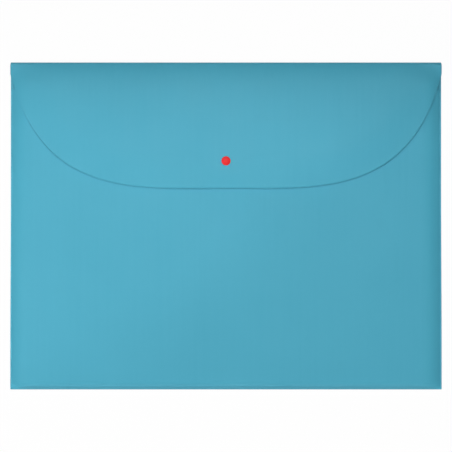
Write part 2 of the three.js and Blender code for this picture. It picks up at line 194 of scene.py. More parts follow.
def sheet_body(middle, normals, gauge, reach, crease):
    """Points, faces and marks of a closed sheet.

    The faces lie at middle + normal * gauge / 2 and middle - normal * gauge / 2. Round the border,
    a nose at turn a lies at middle + normal * gauge / 2 * sin a + outward * reach * cos a, where
    outward is the border's tangent crossed with the normal. reach is given for the first row, the
    last column, the last row and the first column.
    """
    rows, columns = middle.shape[:2]
    half = np.broadcast_to(gauge, (rows, columns))[..., None] / 2
    down, across = np.gradient(middle, axis=(0, 1))
    beside = unit(np.cross(across, normals))
    beyond = unit(np.cross(down, normals))
    outward = np.zeros_like(middle)
    outward[0] += beside[0] * reach[0]
    outward[:, -1] += beyond[:, -1] * reach[1]
    outward[-1] -= beside[-1] * reach[2]
    outward[:, 0] -= beyond[:, 0] * reach[3]
    length = np.linalg.norm(outward, axis=-1, keepdims=True)
    outward *= np.minimum(1, max(reach) / np.maximum(length, 1e-12))

    index = np.arange(rows * columns).reshape(rows, columns)
    border = np.concatenate([index[0, :-1], index[:-1, -1], index[-1, :0:-1], index[:0:-1, 0]])
    flat_middle, flat_normals = middle.reshape(-1, 3), normals.reshape(-1, 3)
    flat_half, flat_outward = half.reshape(-1, 1), outward.reshape(-1, 3)
    turns = NOSE_TURNS[:, None, None]
    nose = (flat_middle[border] + flat_normals[border] * flat_half[border] * np.sin(turns)
            + flat_outward[border] * np.cos(turns))
    points = np.concatenate([
        flat_middle + flat_normals * flat_half,
        flat_middle - flat_normals * flat_half,
        nose.reshape(-1, 3),
    ])

    corners = [index[:-1, :-1], index[:-1, 1:], index[1:, 1:], index[1:, :-1]]
    outer_faces = np.stack(corners, -1).reshape(-1, 4)
    inner_faces = outer_faces[:, ::-1] + rows * columns
    ring_start = 2 * rows * columns + np.arange(len(NOSE_TURNS))[:, None] * len(border)
    rings = np.concatenate([
        border[None],
        ring_start + np.arange(len(border)),
        border[None] + rows * columns,
    ])
    after = np.roll(rings, -1, axis=1)
    edge_faces = np.stack([rings[:-1], rings[1:], after[1:], after[:-1]], -1).reshape(-1, 4)
    faces = np.concatenate([outer_faces, inner_faces, edge_faces])

    flat_crease = np.broadcast_to(crease, (rows, columns)).ravel()
    edge_reach = np.linalg.norm(flat_outward[border], axis=-1) / CUT_NOSE
    nose_count = len(NOSE_TURNS)
    marks = {
        "crease": np.concatenate([flat_crease, flat_crease, np.tile(flat_crease[border], nose_count)]),
        "cut_and_rim_shade": np.concatenate([np.zeros(2 * rows * columns), np.tile(edge_reach, nose_count)]),
    }
    return points, faces.tolist(), marks


# %% [markdown]
# The front of the pocket lies on the back where they are welded. It is sprung open by a thin
# sheaf, so it climbs a slope of 15 mm on each side, steepest near its foot, with a low crown between.
# One function gives its height everywhere, so that the flap can follow the same form later. A pocket
# that is sprung open gets a little narrower, and a second function draws its sides in. The stations
# across the sheet crowd towards the welds, where it bends most.

# %% Height and width of the pocket
SLOPE_FOOT_X = PANEL_HALF_WIDTH
SIDE_SLOPE = 15 * MM
SLOPE_HEAD_X = SLOPE_FOOT_X - SIDE_SLOPE
POCKET_LIFT = 4.3 * MM
POCKET_BOW = 0.85 * MM
BOW_RUN = 120 * MM
DRAW_IN = 0.45 * MM
DRAW_START = 20 * MM
DRAW_RUN = 140 * MM
DRAW_END = 11.5 * MM
DRAW_END_RUN = 3.5 * MM
SLOPE_CROWDING = 1.6


def front_height(x, y):
    """Height of the front sheet's middle: lowest at the welds, a slope inwards, and a low crown.

    Height = 1.5 gauges + slope share * (lift + bow * cos^2 across * smooth share up the pocket).
    """
    inward = roll_off((SLOPE_FOOT_X - np.abs(x)) / SIDE_SLOPE)
    across = np.cos(np.pi / 2 * np.minimum(1, np.abs(x) / SLOPE_HEAD_X)) ** 2
    crown = POCKET_BOW * across * smooth((y - BASE_CREASE_Y) / BOW_RUN)
    return 1.5 * SHEET + inward * (POCKET_LIFT + crown)


def drawn_in(points):
    """The pocket is drawn in a little at its sides.

    x shrinks gradually above the base, and is back at its full size close to the top fold.
    """
    y = points[..., 1]
    rising = smooth((y - BOTTOM_Y - DRAW_START) / DRAW_RUN)
    falling = 1 - smooth((y - TOP_Y + DRAW_END) / DRAW_END_RUN)
    drawn = points.copy()
    drawn[..., 0] *= 1 - DRAW_IN / HALF_WIDTH * rising * falling
    return drawn


def mirrored(right):
    """Stations from 0 outwards, with their mirror image on the left."""
    return np.concatenate([-right[:0:-1], right])


stations = mirrored(np.concatenate([
    np.linspace(0, SLOPE_HEAD_X, 38)[:-1],
    SLOPE_FOOT_X - SIDE_SLOPE * np.linspace(1, 0, 34) ** SLOPE_CROWDING,
]))
print("least step between stations", round(np.diff(stations).min() / MM, 3), "mm")

# %% [markdown]
# The front's bottom edge rolls over softly and goes down to the back along a narrow strip. The strip
# starts with a tight bend on the edge of the back, climbs straight, and ends in a quadratic Bezier
# that rolls into the front. Both share one grid, so that their normals agree at the crease, and the
# grid is cut there into two pieces. The sheet is thinner along that crease and beside the welds.

# %% The front sheet and the base gusset
GUSSET_ROUND = SHEET / 2
STRIP_REACH = 1.8 * MM
FRONT_REACH = 3.4 * MM
STRIP_ROLL_ROWS = 9
FINE_BAND = 1.5 * MM
WAVE_HEIGHT = 0.04 * MM
WAVE_START = 20 * MM
SCORE_WIDTH = 0.6 * MM
SCORE_DEPTH = 0.14 * MM
SCORE_MARK = 0.4
FOOT_SCORE = 0.4 * MM
WELD_TRACK_X = 163.4 * MM
WELD_TRACK_WIDTH = 0.35 * MM
WELD_TRACK_DEPTH = 0.08 * MM

foot_y, foot_z = BOTTOM_Y + SHEET, SHEET
head_z = front_height(stations, BASE_CREASE_Y)
head_distance = np.hypot(BASE_CREASE_Y - foot_y, head_z - foot_z)
climb = np.arctan2(head_z - foot_z, BASE_CREASE_Y - foot_y) - np.arcsin(GUSSET_ROUND / head_distance)
turn = mix(1.5 * np.pi, np.pi / 2 + climb, np.linspace(0, 1, 17)[:, None])
foot_rows = np.stack([foot_y + GUSSET_ROUND * np.cos(turn), foot_z + GUSSET_ROUND * np.sin(turn)], -1)
head = np.stack([np.full_like(stations, BASE_CREASE_Y), head_z], -1)
climb_way = np.stack([np.cos(climb), np.sin(climb)], -1)
bend_start, bend_end = head - STRIP_REACH * climb_way, head + FRONT_REACH * np.array([1, 0])
share = np.linspace(0, 1, 8)[1:, None, None]
climb_rows = mix(foot_rows[-1], bend_start, share)
share = np.linspace(0, 1, 25)[1:, None, None]
bend_rows = (1 - share) ** 2 * bend_start + 2 * share * (1 - share) * head + share ** 2 * bend_end
gusset_rows = np.concatenate([foot_rows, climb_rows, bend_rows])
gusset_count = len(foot_rows) + len(climb_rows) + STRIP_ROLL_ROWS
gusset_grid = np.concatenate([
    np.broadcast_to(stations[:, None], gusset_rows.shape[:2] + (1,)),
    gusset_rows,
], -1)

front_y = BASE_CREASE_Y + FRONT_REACH + np.concatenate([
    np.linspace(0, FINE_BAND, 9)[1:-1],
    np.linspace(FINE_BAND, MOUTH_Y - CUT_NOSE - BASE_CREASE_Y - FRONT_REACH, 96),
])
front_x, front_y = np.meshgrid(stations, front_y)
ripple = WAVE_HEIGHT * waves(front_x, front_y) * smooth((SLOPE_HEAD_X - np.abs(front_x)) / WAVE_START)
ripple *= smooth((front_y - BASE_CREASE_Y) / WAVE_START)
front_grid = np.stack([front_x, front_y, front_height(front_x, front_y) + ripple], -1)

pocket_grid = drawn_in(np.concatenate([gusset_grid, front_grid]))
pocket_normals = grid_normals(pocket_grid)
path = np.linalg.norm(np.diff(pocket_grid[:, len(stations) // 2], axis=0), axis=-1).cumsum()
along_path = np.concatenate([[0], path])[:, None]
score = bump(along_path - path[gusset_count - 2], SCORE_WIDTH)
foot_score = bump(along_path - FOOT_SCORE, SCORE_WIDTH)
pocket_crease = np.broadcast_to(SCORE_MARK * np.maximum(score, foot_score), pocket_grid.shape[:2])
weld_track = bump(np.abs(pocket_grid[..., 0]) - WELD_TRACK_X, WELD_TRACK_WIDTH)
pocket_gauge = SHEET - SCORE_DEPTH * score - WELD_TRACK_DEPTH * weld_track

gusset = make_piece("base_gusset", *sheet_body(
    pocket_grid[:gusset_count], pocket_normals[:gusset_count], pocket_gauge[:gusset_count],
    (0, 0, 0, 0), pocket_crease[:gusset_count]))
front = make_piece("front_sheet", *sheet_body(
    pocket_grid[gusset_count - 1:], pocket_normals[gusset_count - 1:], pocket_gauge[gusset_count - 1:],
    (0, 0, CUT_NOSE, 0), pocket_crease[gusset_count - 1:]))

# %% [markdown]
# The back is the plainest piece: a flat sheet that the wallet lies on. It is as wide as the welds
# leave it up to the mouth, and its full cut width above, where nothing is welded to it. It widens
# under the last stretch of the weld, so that no notch shows in the outline.

# %% The back sheet
WIDEN_BAND = 0.8 * MM
WIDEN_START = 0.7 * MM
WIDEN_RUN = 0.6 * MM
back_y = np.concatenate([
    np.linspace(BOTTOM_Y + SHEET, MOUTH_Y - WIDEN_BAND, 70)[:-1],
    np.linspace(MOUTH_Y - WIDEN_BAND, MOUTH_Y, 9)[:-1],
    np.linspace(MOUTH_Y, BACK_BEND_Y, 26),
])
widened = smooth((back_y - MOUTH_Y + WIDEN_START) / WIDEN_RUN)
back_half_width = mix(PANEL_HALF_WIDTH, HALF_WIDTH - CUT_NOSE, widened)
back_x = stations[None] / PANEL_HALF_WIDTH * back_half_width[:, None]
back_grid = np.stack(np.broadcast_arrays(back_x, back_y[:, None], SHEET / 2), -1)
back_grid = drawn_in(back_grid)
back = make_piece("back_sheet", *sheet_body(
    back_grid, grid_normals(back_grid), SHEET, (0, CUT_NOSE, 0, CUT_NOSE), 0))

# %% [markdown]
# Each side is welded with a hot bar that cuts and seals at once. It leaves a narrow bead where both
# sheets melt together, rounded outside and a little uneven along its length. It bites a little way
# into both, so that no gap shows between them. A closed profile carried along the side makes it,
# with rings that shrink at both ends to round them off.

# %% The welded side beads
BEAD_CORNER = 2.4
BEAD_BITE = 0.12 * MM
BEAD_END = 0.4 * MM
BEAD_SWELL = 0.96
BEAD_RIPPLE = 0.02
FINE_RIPPLE = 0.35 * MM
LONG_RIPPLE = 2.9 * MM
BEAD_CREASE = 0.2
BEAD_CUT = 0.1
bead_turn = np.linspace(0, 2 * np.pi, 24, endpoint=False)


def superellipse(angle, power):
    """A rounded rectangle of half width and half height 1: |cos|^(2/p) and |sin|^(2/p)."""
    across, up = np.cos(angle), np.sin(angle)
    return (np.sign(across) * np.abs(across) ** (2 / power), np.sign(up) * np.abs(up) ** (2 / power))


def weld_bead(name, side):
    """The superellipse carried along y, with two ripples, and shrunk like a circle at its ends."""
    y = np.concatenate([
        BOTTOM_Y + BEAD_END * (1 - np.cos(np.linspace(0.1, np.pi / 2, 6))),
        np.linspace(BOTTOM_Y + BEAD_END, MOUTH_Y - BEAD_END, 420)[1:-1],
        MOUTH_Y - BEAD_END * (1 - np.cos(np.linspace(np.pi / 2, 0.1, 6))),
    ])
    from_end = np.minimum(y - BOTTOM_Y, MOUTH_Y - y) / BEAD_END
    shrink = np.sqrt(1 - (1 - np.clip(from_end, 0, 1)) ** 2)
    ripple = BEAD_RIPPLE * (np.sin(y / FINE_RIPPLE) + np.sin(y / LONG_RIPPLE + side))
    across, up = superellipse(bead_turn, BEAD_CORNER)
    swell = (shrink * (BEAD_SWELL + ripple))[:, None]
    half_across, half_up = (HALF_WIDTH - PANEL_HALF_WIDTH + BEAD_BITE) / 2, SHEET
    x = side * (HALF_WIDTH - half_across + half_across * across * swell)
    z = SHEET + half_up * up * swell
    ring = np.stack(np.broadcast_arrays(x, y[:, None], z), -1)
    rows, columns = ring.shape[:2]
    index = np.arange(rows * columns).reshape(rows, columns)
    after = np.roll(index, -1, axis=1)
    quads = np.stack([index[:-1], after[:-1], after[1:], index[1:]], -1).reshape(-1, 4)
    near, far = index[0], index[-1]
    if side > 0:
        quads = quads[:, ::-1]
        near, far = near[::-1], far[::-1]
    faces = quads.tolist() + [near[::-1].tolist(), far.tolist()]
    points = drawn_in(ring.reshape(-1, 3))
    marks = {"crease": np.full(len(points), BEAD_CREASE), "cut_and_rim_shade": np.full(len(points), BEAD_CUT)}
    return make_piece(name, points, faces, marks)


left_bead = weld_bead("weld_left", -1)
right_bead = weld_bead("weld_right", 1)

# %% [markdown]
# The flap, the fold and the spine are one strap of sheet. Its grid starts at the flap's free edge,
# runs up to the fold, round it, down the short spine and round the back bend. The columns end on
# the free edge, which is a Bezier curve on each side, so that the cut line is smooth.

# %% Free edge of the flap
FLAP_HALF_WIDTH = HALF_WIDTH - 0.5 * MM
FLAP_DEPTH = 96.3 * MM
SHOULDER_DEPTH = 8.9 * MM
SIDE_LEAN = 24.2 * MM
SIDE_PULL = 95.2 * MM
TIP_PULL = 70.8 * MM
EDGE_INSET = 0.22 * MM


def free_edge(count):
    """Cubic Bezier from the shoulder to the middle, moved in by the reach of the cut nose.

    Away from the shoulder it is moved in by the inset too: the line that was traced is its shadow.
    """
    t = np.linspace(0, 1, count)[:, None]
    shoulder = np.array([FLAP_HALF_WIDTH, TOP_Y - SHOULDER_DEPTH])
    side_pull = shoulder - np.array([SIDE_LEAN, SIDE_PULL])
    tip_pull = np.array([TIP_PULL, TOP_Y - FLAP_DEPTH])
    tip = np.array([0, TOP_Y - FLAP_DEPTH])
    line = ((1 - t) ** 3 * shoulder + 3 * t * (1 - t) ** 2 * side_pull
            + 3 * t ** 2 * (1 - t) * tip_pull + t ** 3 * tip)
    way = unit(np.gradient(line, axis=0))
    inset = CUT_NOSE + EDGE_INSET * smooth(4 * t)
    return line + inset * np.stack([way[:, 1], -way[:, 0]], -1)


def distance_to_line(x, y, line):
    """Least distance from each point to the line's stretches."""
    start, way = line[:-1], np.diff(line, axis=0)
    from_x, from_y = x[..., None] - start[:, 0], y[..., None] - start[:, 1]
    along = (from_x * way[:, 0] + from_y * way[:, 1]) / (way ** 2).sum(-1)
    held = np.clip(along, 0, 1)
    return np.hypot(from_x - held * way[:, 0], from_y - held * way[:, 1]).min(-1)


half_edge = free_edge(111)
edge_length = 2 * np.linalg.norm(np.diff(half_edge, axis=0), axis=-1).sum()
edge_line = np.concatenate([[[half_edge[0, 0], FOLD_BEND_Y]], half_edge[::2]])
edge_x = np.concatenate([-half_edge[:, 0], half_edge[-2::-1, 0]])
edge_y = np.concatenate([half_edge[:, 1], half_edge[-2::-1, 1]])
print("the free edge is", round(edge_length / MM, 1), "mm long")

# %% [markdown]
# The flap leaves the fold sloping up over the sheaf, crowns, and comes down close to the pocket
# along its free edge. It is level round the stud, whose two halves keep it off the pocket. The slope
# at which it leaves follows from the crown's curve, so the fold can end at just that turn.

# %% Height of the flap
FLAP_GAP = 1.8 * MM
EDGE_RUN = 26 * MM
CROWN_RUN = 70 * MM
CROWN_POWER = 6.3
FOLD_RUN = 15 * MM
LAND_RADIUS = 9 * MM
LAND_BLEND = 12 * MM
SEAT_GAP = 0.08 * MM
cap_low, cap_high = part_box("snap_cap")
socket_low, socket_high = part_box("snap_socket")
SNAP_Y = (cap_low.y + cap_high.y) / 2
SNAP_UNDERSIDE = socket_high.z + SEAT_GAP
FOLD_UNDERSIDE = FOLD_BEND_Z + FOLD_BEND - SHEET / 2
LEAVE_SLOPE = CROWN_POWER * (SNAP_UNDERSIDE - FOLD_UNDERSIDE) / CROWN_RUN


def fold_end(x):
    """Turn at which the fold's bend ends: a quarter turn less the slope at which the flap leaves."""
    inward = smooth((FLAP_HALF_WIDTH - np.abs(x)) / EDGE_RUN)
    return np.pi / 2 - np.arctan(inward * LEAVE_SLOPE)


def bend_points(x, turn, centre_y, centre_z, radius):
    """Points at that turn round a bend's centre, for each x."""
    x, turn = np.broadcast_arrays(x, turn)
    return np.stack([x, centre_y + radius * np.cos(turn), centre_z + radius * np.sin(turn)], -1)


def flap_height(x, y, edge):
    """Height of the flap's middle.

    Low form: from the fold down to just over the pocket. High form: an eased rise to the level of
    the stud. The distance to the free edge mixes them, and round the stud the flap is level.
    """
    start = bend_points(x, fold_end(x), FOLD_BEND_Y, FOLD_BEND_Z, FOLD_BEND)
    from_fold = start[..., 1] - y
    fold_underside = start[..., 2] - SHEET / 2
    pocket_face = front_height(x, np.minimum(y, MOUTH_Y)) + SHEET / 2
    low = mix(fold_underside, pocket_face + FLAP_GAP, smooth(from_fold / FOLD_RUN))
    easing = 1 - np.maximum(0, 1 - from_fold / CROWN_RUN) ** CROWN_POWER
    high = mix(fold_underside, SNAP_UNDERSIDE, easing)
    swell = mix(low, high, smooth(distance_to_line(np.abs(x), y, edge) / EDGE_RUN))
    from_snap = np.hypot(x, y - SNAP_Y)
    level = smooth((from_snap - LAND_RADIUS) / LAND_BLEND)
    return mix(SNAP_UNDERSIDE, swell, level) + SHEET / 2


print("the flap leaves its fold at", round(math.degrees(math.atan(LEAVE_SLOPE)), 1), "degrees")

# %% [markdown]
# The strap is cut into four pieces at rest. The flap and the spine are stiff between the creases.
# The two bends are where the sheet flexes.

# %% The flap, the fold, the spine and the back bend
SPINE_TURN = math.radians(25)
HINGE_WIDTH = 0.6 * MM
HINGE_DEPTH = 0.08 * MM
FOLD_CROWDING = 1.5
EDGE_CALM = 4 * MM

flap_share = np.linspace(1, 0, 91)[:, None] ** FOLD_CROWDING
fold_start = bend_points(edge_x, fold_end(edge_x), FOLD_BEND_Y, FOLD_BEND_Z, FOLD_BEND)
flap_y = mix(fold_start[:, 1], edge_y, flap_share)
flap_x = np.broadcast_to(edge_x, flap_y.shape)
flap_z = flap_height(flap_x, flap_y, edge_line)
flap_z = flap_z + WAVE_HEIGHT * waves(flap_x, flap_y) * smooth(
    (distance_to_line(np.abs(flap_x), flap_y, edge_line) - EDGE_CALM) / EDGE_RUN)
flap_grid = np.stack([flap_x, flap_y, flap_z], -1)

fold_turns = mix(fold_end(edge_x), SPINE_TURN, np.linspace(0, 1, 37)[1:, None])
fold_grid = bend_points(edge_x, fold_turns, FOLD_BEND_Y, FOLD_BEND_Z, FOLD_BEND)
high_turns = np.linspace(SPINE_TURN, 0, 15)[1:, None]
low_turns = np.linspace(0, -SPINE_TURN, 9)[:, None]
spine_grid = np.concatenate([
    bend_points(edge_x, high_turns, FOLD_BEND_Y, FOLD_BEND_Z, FOLD_BEND),
    bend_points(edge_x, low_turns, BACK_BEND_Y, BACK_BEND_Z, BACK_BEND),
])
back_turns = np.linspace(-SPINE_TURN, -np.pi / 2, 31)[1:, None]
bend_grid = bend_points(edge_x, back_turns, BACK_BEND_Y, BACK_BEND_Z, BACK_BEND)

strap = np.concatenate([flap_grid, fold_grid, spine_grid, bend_grid])
strap_normals = grid_normals(strap)
cuts = np.cumsum([0, len(flap_grid), len(fold_grid), len(spine_grid), len(bend_grid)])
middle_line = strap[:, len(edge_x) // 2]
crease_rows = np.zeros(len(strap))
for hinge in hinges.values():
    away = np.hypot(middle_line[:, 1] - hinge.y, middle_line[:, 2] - hinge.z)
    crease_rows = np.maximum(crease_rows, bump(away, HINGE_WIDTH))
strap_crease = np.broadcast_to(crease_rows[:, None], strap.shape[:2])
strap_gauge = SHEET - HINGE_DEPTH * strap_crease

strap_length = np.linalg.norm(np.diff(middle_line, axis=0), axis=-1).sum()
flat_lengths = np.array([path[-1], back_y[-1] - back_y[0], strap_length]) / MM
print("front, back and flap are", flat_lengths.round(1), "mm long, laid flat")
print("flat sheet", round(2 * HALF_WIDTH / MM, 1), "by", round(flat_lengths.sum(), 1), "mm")


def strap_piece(name, part, end_reach):
    """The part of the strap from one cut to the next; each starts on the last row before it."""
    rows = slice(max(cuts[part] - 1, 0), cuts[part + 1])
    reach = (end_reach, CUT_NOSE, 0, CUT_NOSE)
    return make_piece(name, *sheet_body(
        strap[rows], strap_normals[rows], strap_gauge[rows], reach, strap_crease[rows]))


flap = strap_piece("flap_sheet", 0, CUT_NOSE)
fold = strap_piece("front_fold", 1, 0)
spine = strap_piece("spine_sheet", 2, 0)
back_fold = strap_piece("back_fold", 3, 0)

# %% [markdown]
# The press stud has four small moulded pieces: a domed cap riveted through the flap to a socket,
# and a stud riveted through the front to a backing disc. Each is a profile turned about the snap's
# axis. Corners get a small round, because moulded edges always have one and it catches the light.

# %% Turned pieces
TURN_STEPS = 96
RIM_START = 3.1
RIM_RUN = 0.4
# How far the red plastic darkens the stud's outer rim: painted shade where it rounds away.
RIM_SHADE = 0.5


def bezier(start, pull, end, count):
    """Quadratic Bezier: (1-t)^2 start + 2t(1-t) pull + t^2 end."""
    t = np.linspace(0, 1, count)[:, None]
    return (1 - t) ** 2 * np.array(start) + 2 * t * (1 - t) * np.array(pull) + t ** 2 * np.array(end)


def rounded(corners, radius, loop):
    """Each corner becomes a short Bezier that starts and ends a radius away from it.

    On a short side the round takes at most two fifths of it. An open profile keeps its two ends.
    """
    corners = np.array(corners, float)
    before = np.roll(corners, 1, axis=0) - corners
    after = np.roll(corners, -1, axis=0) - corners
    to_before, to_after = (np.linalg.norm(side, axis=-1, keepdims=True) for side in (before, after))
    start = corners + before * np.minimum(radius / to_before, 0.4)
    end = corners + after * np.minimum(radius / to_after, 0.4)
    t = np.linspace(0, 1, 5)[:, None, None]
    arcs = (1 - t) ** 2 * start + 2 * t * (1 - t) * corners + t ** 2 * end
    inner = arcs.transpose(1, 0, 2)
    if loop:
        return inner.reshape(-1, 2)
    return np.concatenate([corners[:1], inner[1:-1].reshape(-1, 2), corners[-1:]])


def turned_piece(name, profile, loop, datum):
    """The (radius, height) profile, in millimetres, turned about the snap's axis above datum.

    A loop gives a ring. An open profile starts and ends on the axis, where a fan closes it. The
    profile runs so that its outside is on its right, seen with the radius to the right.
    """
    profile = np.array(profile) * MM
    rings = profile if loop else profile[1:-1]
    angle = np.linspace(0, 2 * np.pi, TURN_STEPS, endpoint=False)
    radius, height = rings[:, :1], rings[:, 1:]
    ring = np.stack(np.broadcast_arrays(
        radius * np.cos(angle), SNAP_Y + radius * np.sin(angle), datum + height), -1)
    index = np.arange(ring.shape[0] * TURN_STEPS).reshape(-1, TURN_STEPS)
    rows = np.concatenate([index, index[:1]]) if loop else index
    after = np.roll(rows, -1, axis=1)
    faces = np.stack([rows[:-1], after[:-1], after[1:], rows[1:]], -1).reshape(-1, 4).tolist()
    points = ring.reshape(-1, 3)
    if not loop:
        poles = [[0, SNAP_Y, datum + profile[0, 1]], [0, SNAP_Y, datum + profile[-1, 1]]]
        first, last = len(points), len(points) + 1
        points = np.concatenate([points, poles])
        faces += np.stack([after[0], rows[0], np.full(TURN_STEPS, first)], -1).tolist()
        faces += np.stack([rows[-1], after[-1], np.full(TURN_STEPS, last)], -1).tolist()
    distance = np.hypot(points[:, 0], points[:, 1] - SNAP_Y)
    # Painted shade: the outer rim of each turned piece is marked, and the red plastic darkens it there.
    rim_shade = smooth((distance / MM - RIM_START) / RIM_RUN)
    marks = {"crease": np.zeros(len(points)), "cut_and_rim_shade": rim_shade * RIM_SHADE}
    return make_piece(name, points, faces, marks)


# %% [markdown]
# The cap is what the eye finds first: a low dome, 7 mm across, with a soft rim and a small sunk
# circle in its middle where the mould was filled. Below the flap its post is spread into a rivet.
# The socket and the stud are seen when the wallet is open, and the disc lies inside the pocket.

# %% The press stud
EDGE_ROUND = 0.08
CAP_RISE = 1.1
cap_datum = cap_high.z - CAP_RISE * MM
cap_foot = (cap_low.z - cap_datum) / MM
rivet_top = cap_foot + 0.25
cap_profile = np.concatenate([
    rounded([(0, cap_foot), (1.5, cap_foot), (1.5, rivet_top), (1.1, rivet_top), (1.1, 0), (3.2, 0)],
            EDGE_ROUND, False)[:-1],
    bezier((3.2, 0), (3.5, 0), (3.5, 0.24), 8),
    bezier((3.5, 0.24), (3.5, 0.47), (3.1, 0.58), 10)[1:],
    bezier((3.1, 0.58), (1.9, CAP_RISE), (0.5, CAP_RISE), 24)[1:],
    bezier((0.5, CAP_RISE), (0.4, CAP_RISE), (0.38, CAP_RISE - 0.03), 5)[1:],
    bezier((0.38, CAP_RISE - 0.03), (0.36, CAP_RISE - 0.06), (0, CAP_RISE - 0.06), 6)[1:],
])
cap = turned_piece("stud_cap", cap_profile, False, cap_datum)

socket_height = (socket_high.z - socket_low.z) / MM
web = socket_height - 0.4
socket_profile = rounded([
    (1.3, socket_height), (1.3, web), (2.3, web), (2.3, 0.36), (1.95, 0.36),
    (1.95, 0.2), (2.15, 0), (3.55, 0), (3.8, 0.25), (3.8, socket_height),
], EDGE_ROUND, True)
socket = turned_piece("stud_socket", socket_profile, True, socket_low.z)

stud_low, stud_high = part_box("snap_stud")
stud_top = (stud_high.z - stud_low.z) / MM
stud_profile = rounded([
    (0.9, 0), (3.8, 0), (3.8, 0.28), (3.5, 0.4), (1.83, 0.4), (1.83, stud_top - 0.4),
    (2.1, stud_top - 0.34), (2.1, stud_top - 0.15), (1.95, stud_top), (1.3, stud_top),
    (1.3, stud_top - 0.41), (0.9, stud_top - 0.41),
], EDGE_ROUND, True)
stud = turned_piece("stud_post_ring", stud_profile, True, stud_low.z)

post_low, post_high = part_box("snap_stud_post")
post_top = (post_high.z - post_low.z) / MM
post_profile = rounded([
    (0, 0), (3.2, 0), (3.5, 0.22), (3.5, 0.7), (0.7, 0.7), (0.7, post_top - 0.25),
    (1.1, post_top - 0.25), (1.1, post_top), (0, post_top),
], EDGE_ROUND, False)
backing = turned_piece("stud_backing", post_profile, False, post_low.z)

# %% [markdown]
# A material is a tree of nodes whose sockets are linked. It can be drawn by hand in the node editor,
# but a script can be read and run again. Three helpers keep it short: one feeds a node's inputs,
# one adds a node, and one starts a group, whose own inputs and outputs `interface.new_socket` makes.

# %% Node helpers
def feed(tree, node, inputs):
    """Sets each input of the node to a value, or links it to a socket."""
    for key, value in inputs.items():
        if isinstance(value, bpy.types.NodeSocket):
            tree.links.new(value, node.inputs[key])
        else:
            node.inputs[key].default_value = value


def add_node(tree, kind, inputs, **settings):
    """A new node with its settings and inputs."""
    node = tree.nodes.new(kind)
    for setting, value in settings.items():
        setattr(node, setting, value)
    feed(tree, node, inputs)
    return node


def new_group(name, inputs, outputs):
    """An empty node group with named sockets: (tree, input sockets, output node)."""
    tree = bpy.data.node_groups.new(name, "ShaderNodeTree")
    for socket_name, kind in inputs.items():
        tree.interface.new_socket(socket_name, in_out="INPUT", socket_type=kind)
    for socket_name in outputs:
        tree.interface.new_socket(socket_name, in_out="OUTPUT", socket_type="NodeSocketFloat")
    return tree, tree.nodes.new("NodeGroupInput").outputs, tree.nodes.new("NodeGroupOutput").inputs


# %% [markdown]
# Both plastics were moulded or rolled against a finely textured tool, and both pick up the same
# faint unevenness. The sheet has rubbed edges, and on the stud the same group darkens the rim as
# painted shade. These effects are node groups, built once and given other values in each material.
# They read Object coordinates, which here are places on the wallet itself.

# %% Fine grain, soft unevenness, rubbed edges and painted rim shade
FINE_SHARE = 0.75
WIDE_CELLS = 7.0
RUB_PATCH = 0.004


def noise_at(tree, vector, size, detail):
    """Noise whose cells are about `size` metres across."""
    scale = add_node(tree, "ShaderNodeMath", {0: 1.0, 1: size}, operation="DIVIDE").outputs[0]
    noise = add_node(tree, "ShaderNodeTexNoise", {"Vector": vector, "Scale": scale, "Detail": detail})
    return noise.outputs["Fac"]


grain, given, result = new_group(
    "moulded_grain", {"Vector": "NodeSocketVector", "Size": "NodeSocketFloat"}, ["Height"])
fine = noise_at(grain, given["Vector"], given["Size"], 2.0)
wide_size = add_node(grain, "ShaderNodeMath", {0: given["Size"], 1: WIDE_CELLS}, operation="MULTIPLY")
wide = noise_at(grain, given["Vector"], wide_size.outputs[0], 1.0)
fine_part = add_node(grain, "ShaderNodeMath", {0: fine, 1: FINE_SHARE}, operation="MULTIPLY")
relief_height = add_node(
    grain, "ShaderNodeMath", {0: wide, 1: 1 - FINE_SHARE, 2: fine_part.outputs[0]},
    operation="MULTIPLY_ADD")
grain.links.new(relief_height.outputs[0], result["Height"])

uneven, given, result = new_group(
    "soft_unevenness",
    {"Vector": "NodeSocketVector", "Size": "NodeSocketFloat", "Low": "NodeSocketFloat",
     "High": "NodeSocketFloat"},
    ["Value"])
cloud = noise_at(uneven, given["Vector"], given["Size"], 2.0)
ranged = add_node(uneven, "ShaderNodeMapRange", {
    "Value": cloud, "From Min": 0.3, "From Max": 0.7, "To Min": given["Low"], "To Max": given["High"]})
uneven.links.new(ranged.outputs["Result"], result["Value"])

# Broken patches along a marked edge: rubbed wear on the sheet, painted shade on the stud's rim.
edge_wear_and_shade, given, result = new_group(
    "edge_wear_and_painted_shade", {"Vector": "NodeSocketVector", "Edge": "NodeSocketFloat", "Amount": "NodeSocketFloat"},
    ["Wear"])
patches = noise_at(edge_wear_and_shade, given["Vector"], RUB_PATCH, 3.0)
broken = add_node(edge_wear_and_shade, "ShaderNodeMapRange", {"Value": patches, "From Min": 0.35, "From Max": 0.65})
patchy_edge = add_node(
    edge_wear_and_shade, "ShaderNodeMath", {0: broken.outputs["Result"], 1: given["Edge"]}, operation="MULTIPLY")
wear_and_shade = add_node(edge_wear_and_shade, "ShaderNodeMath", {0: patchy_edge.outputs[0], 1: given["Amount"]}, operation="MULTIPLY")
edge_wear_and_shade.links.new(wear_and_shade.outputs[0], result["Wear"])
print("node groups", [group.name for group in (grain, uneven, edge_wear_and_shade)])

# %% [markdown]
# Sheet and stud are different plastics with the same kinds of mark, so one function builds both
# materials from the groups. The colour goes through four mixes: drift, streaks, creases and cut
# edges. On the stud that last mix is a painted shade that darkens its rim. Soft patches and the
# streaks vary the roughness, and the grain is a relief too fine to be mesh. The creases, cut edges
# and rim shade come from the values that each mesh carries per point.

# %% A plastic from the groups
def grouped(tree, group, inputs):
    """The output of a node that holds the group."""
    node = tree.nodes.new("ShaderNodeGroup")
    node.node_tree = group
    feed(tree, node, inputs)
    return node.outputs[0]


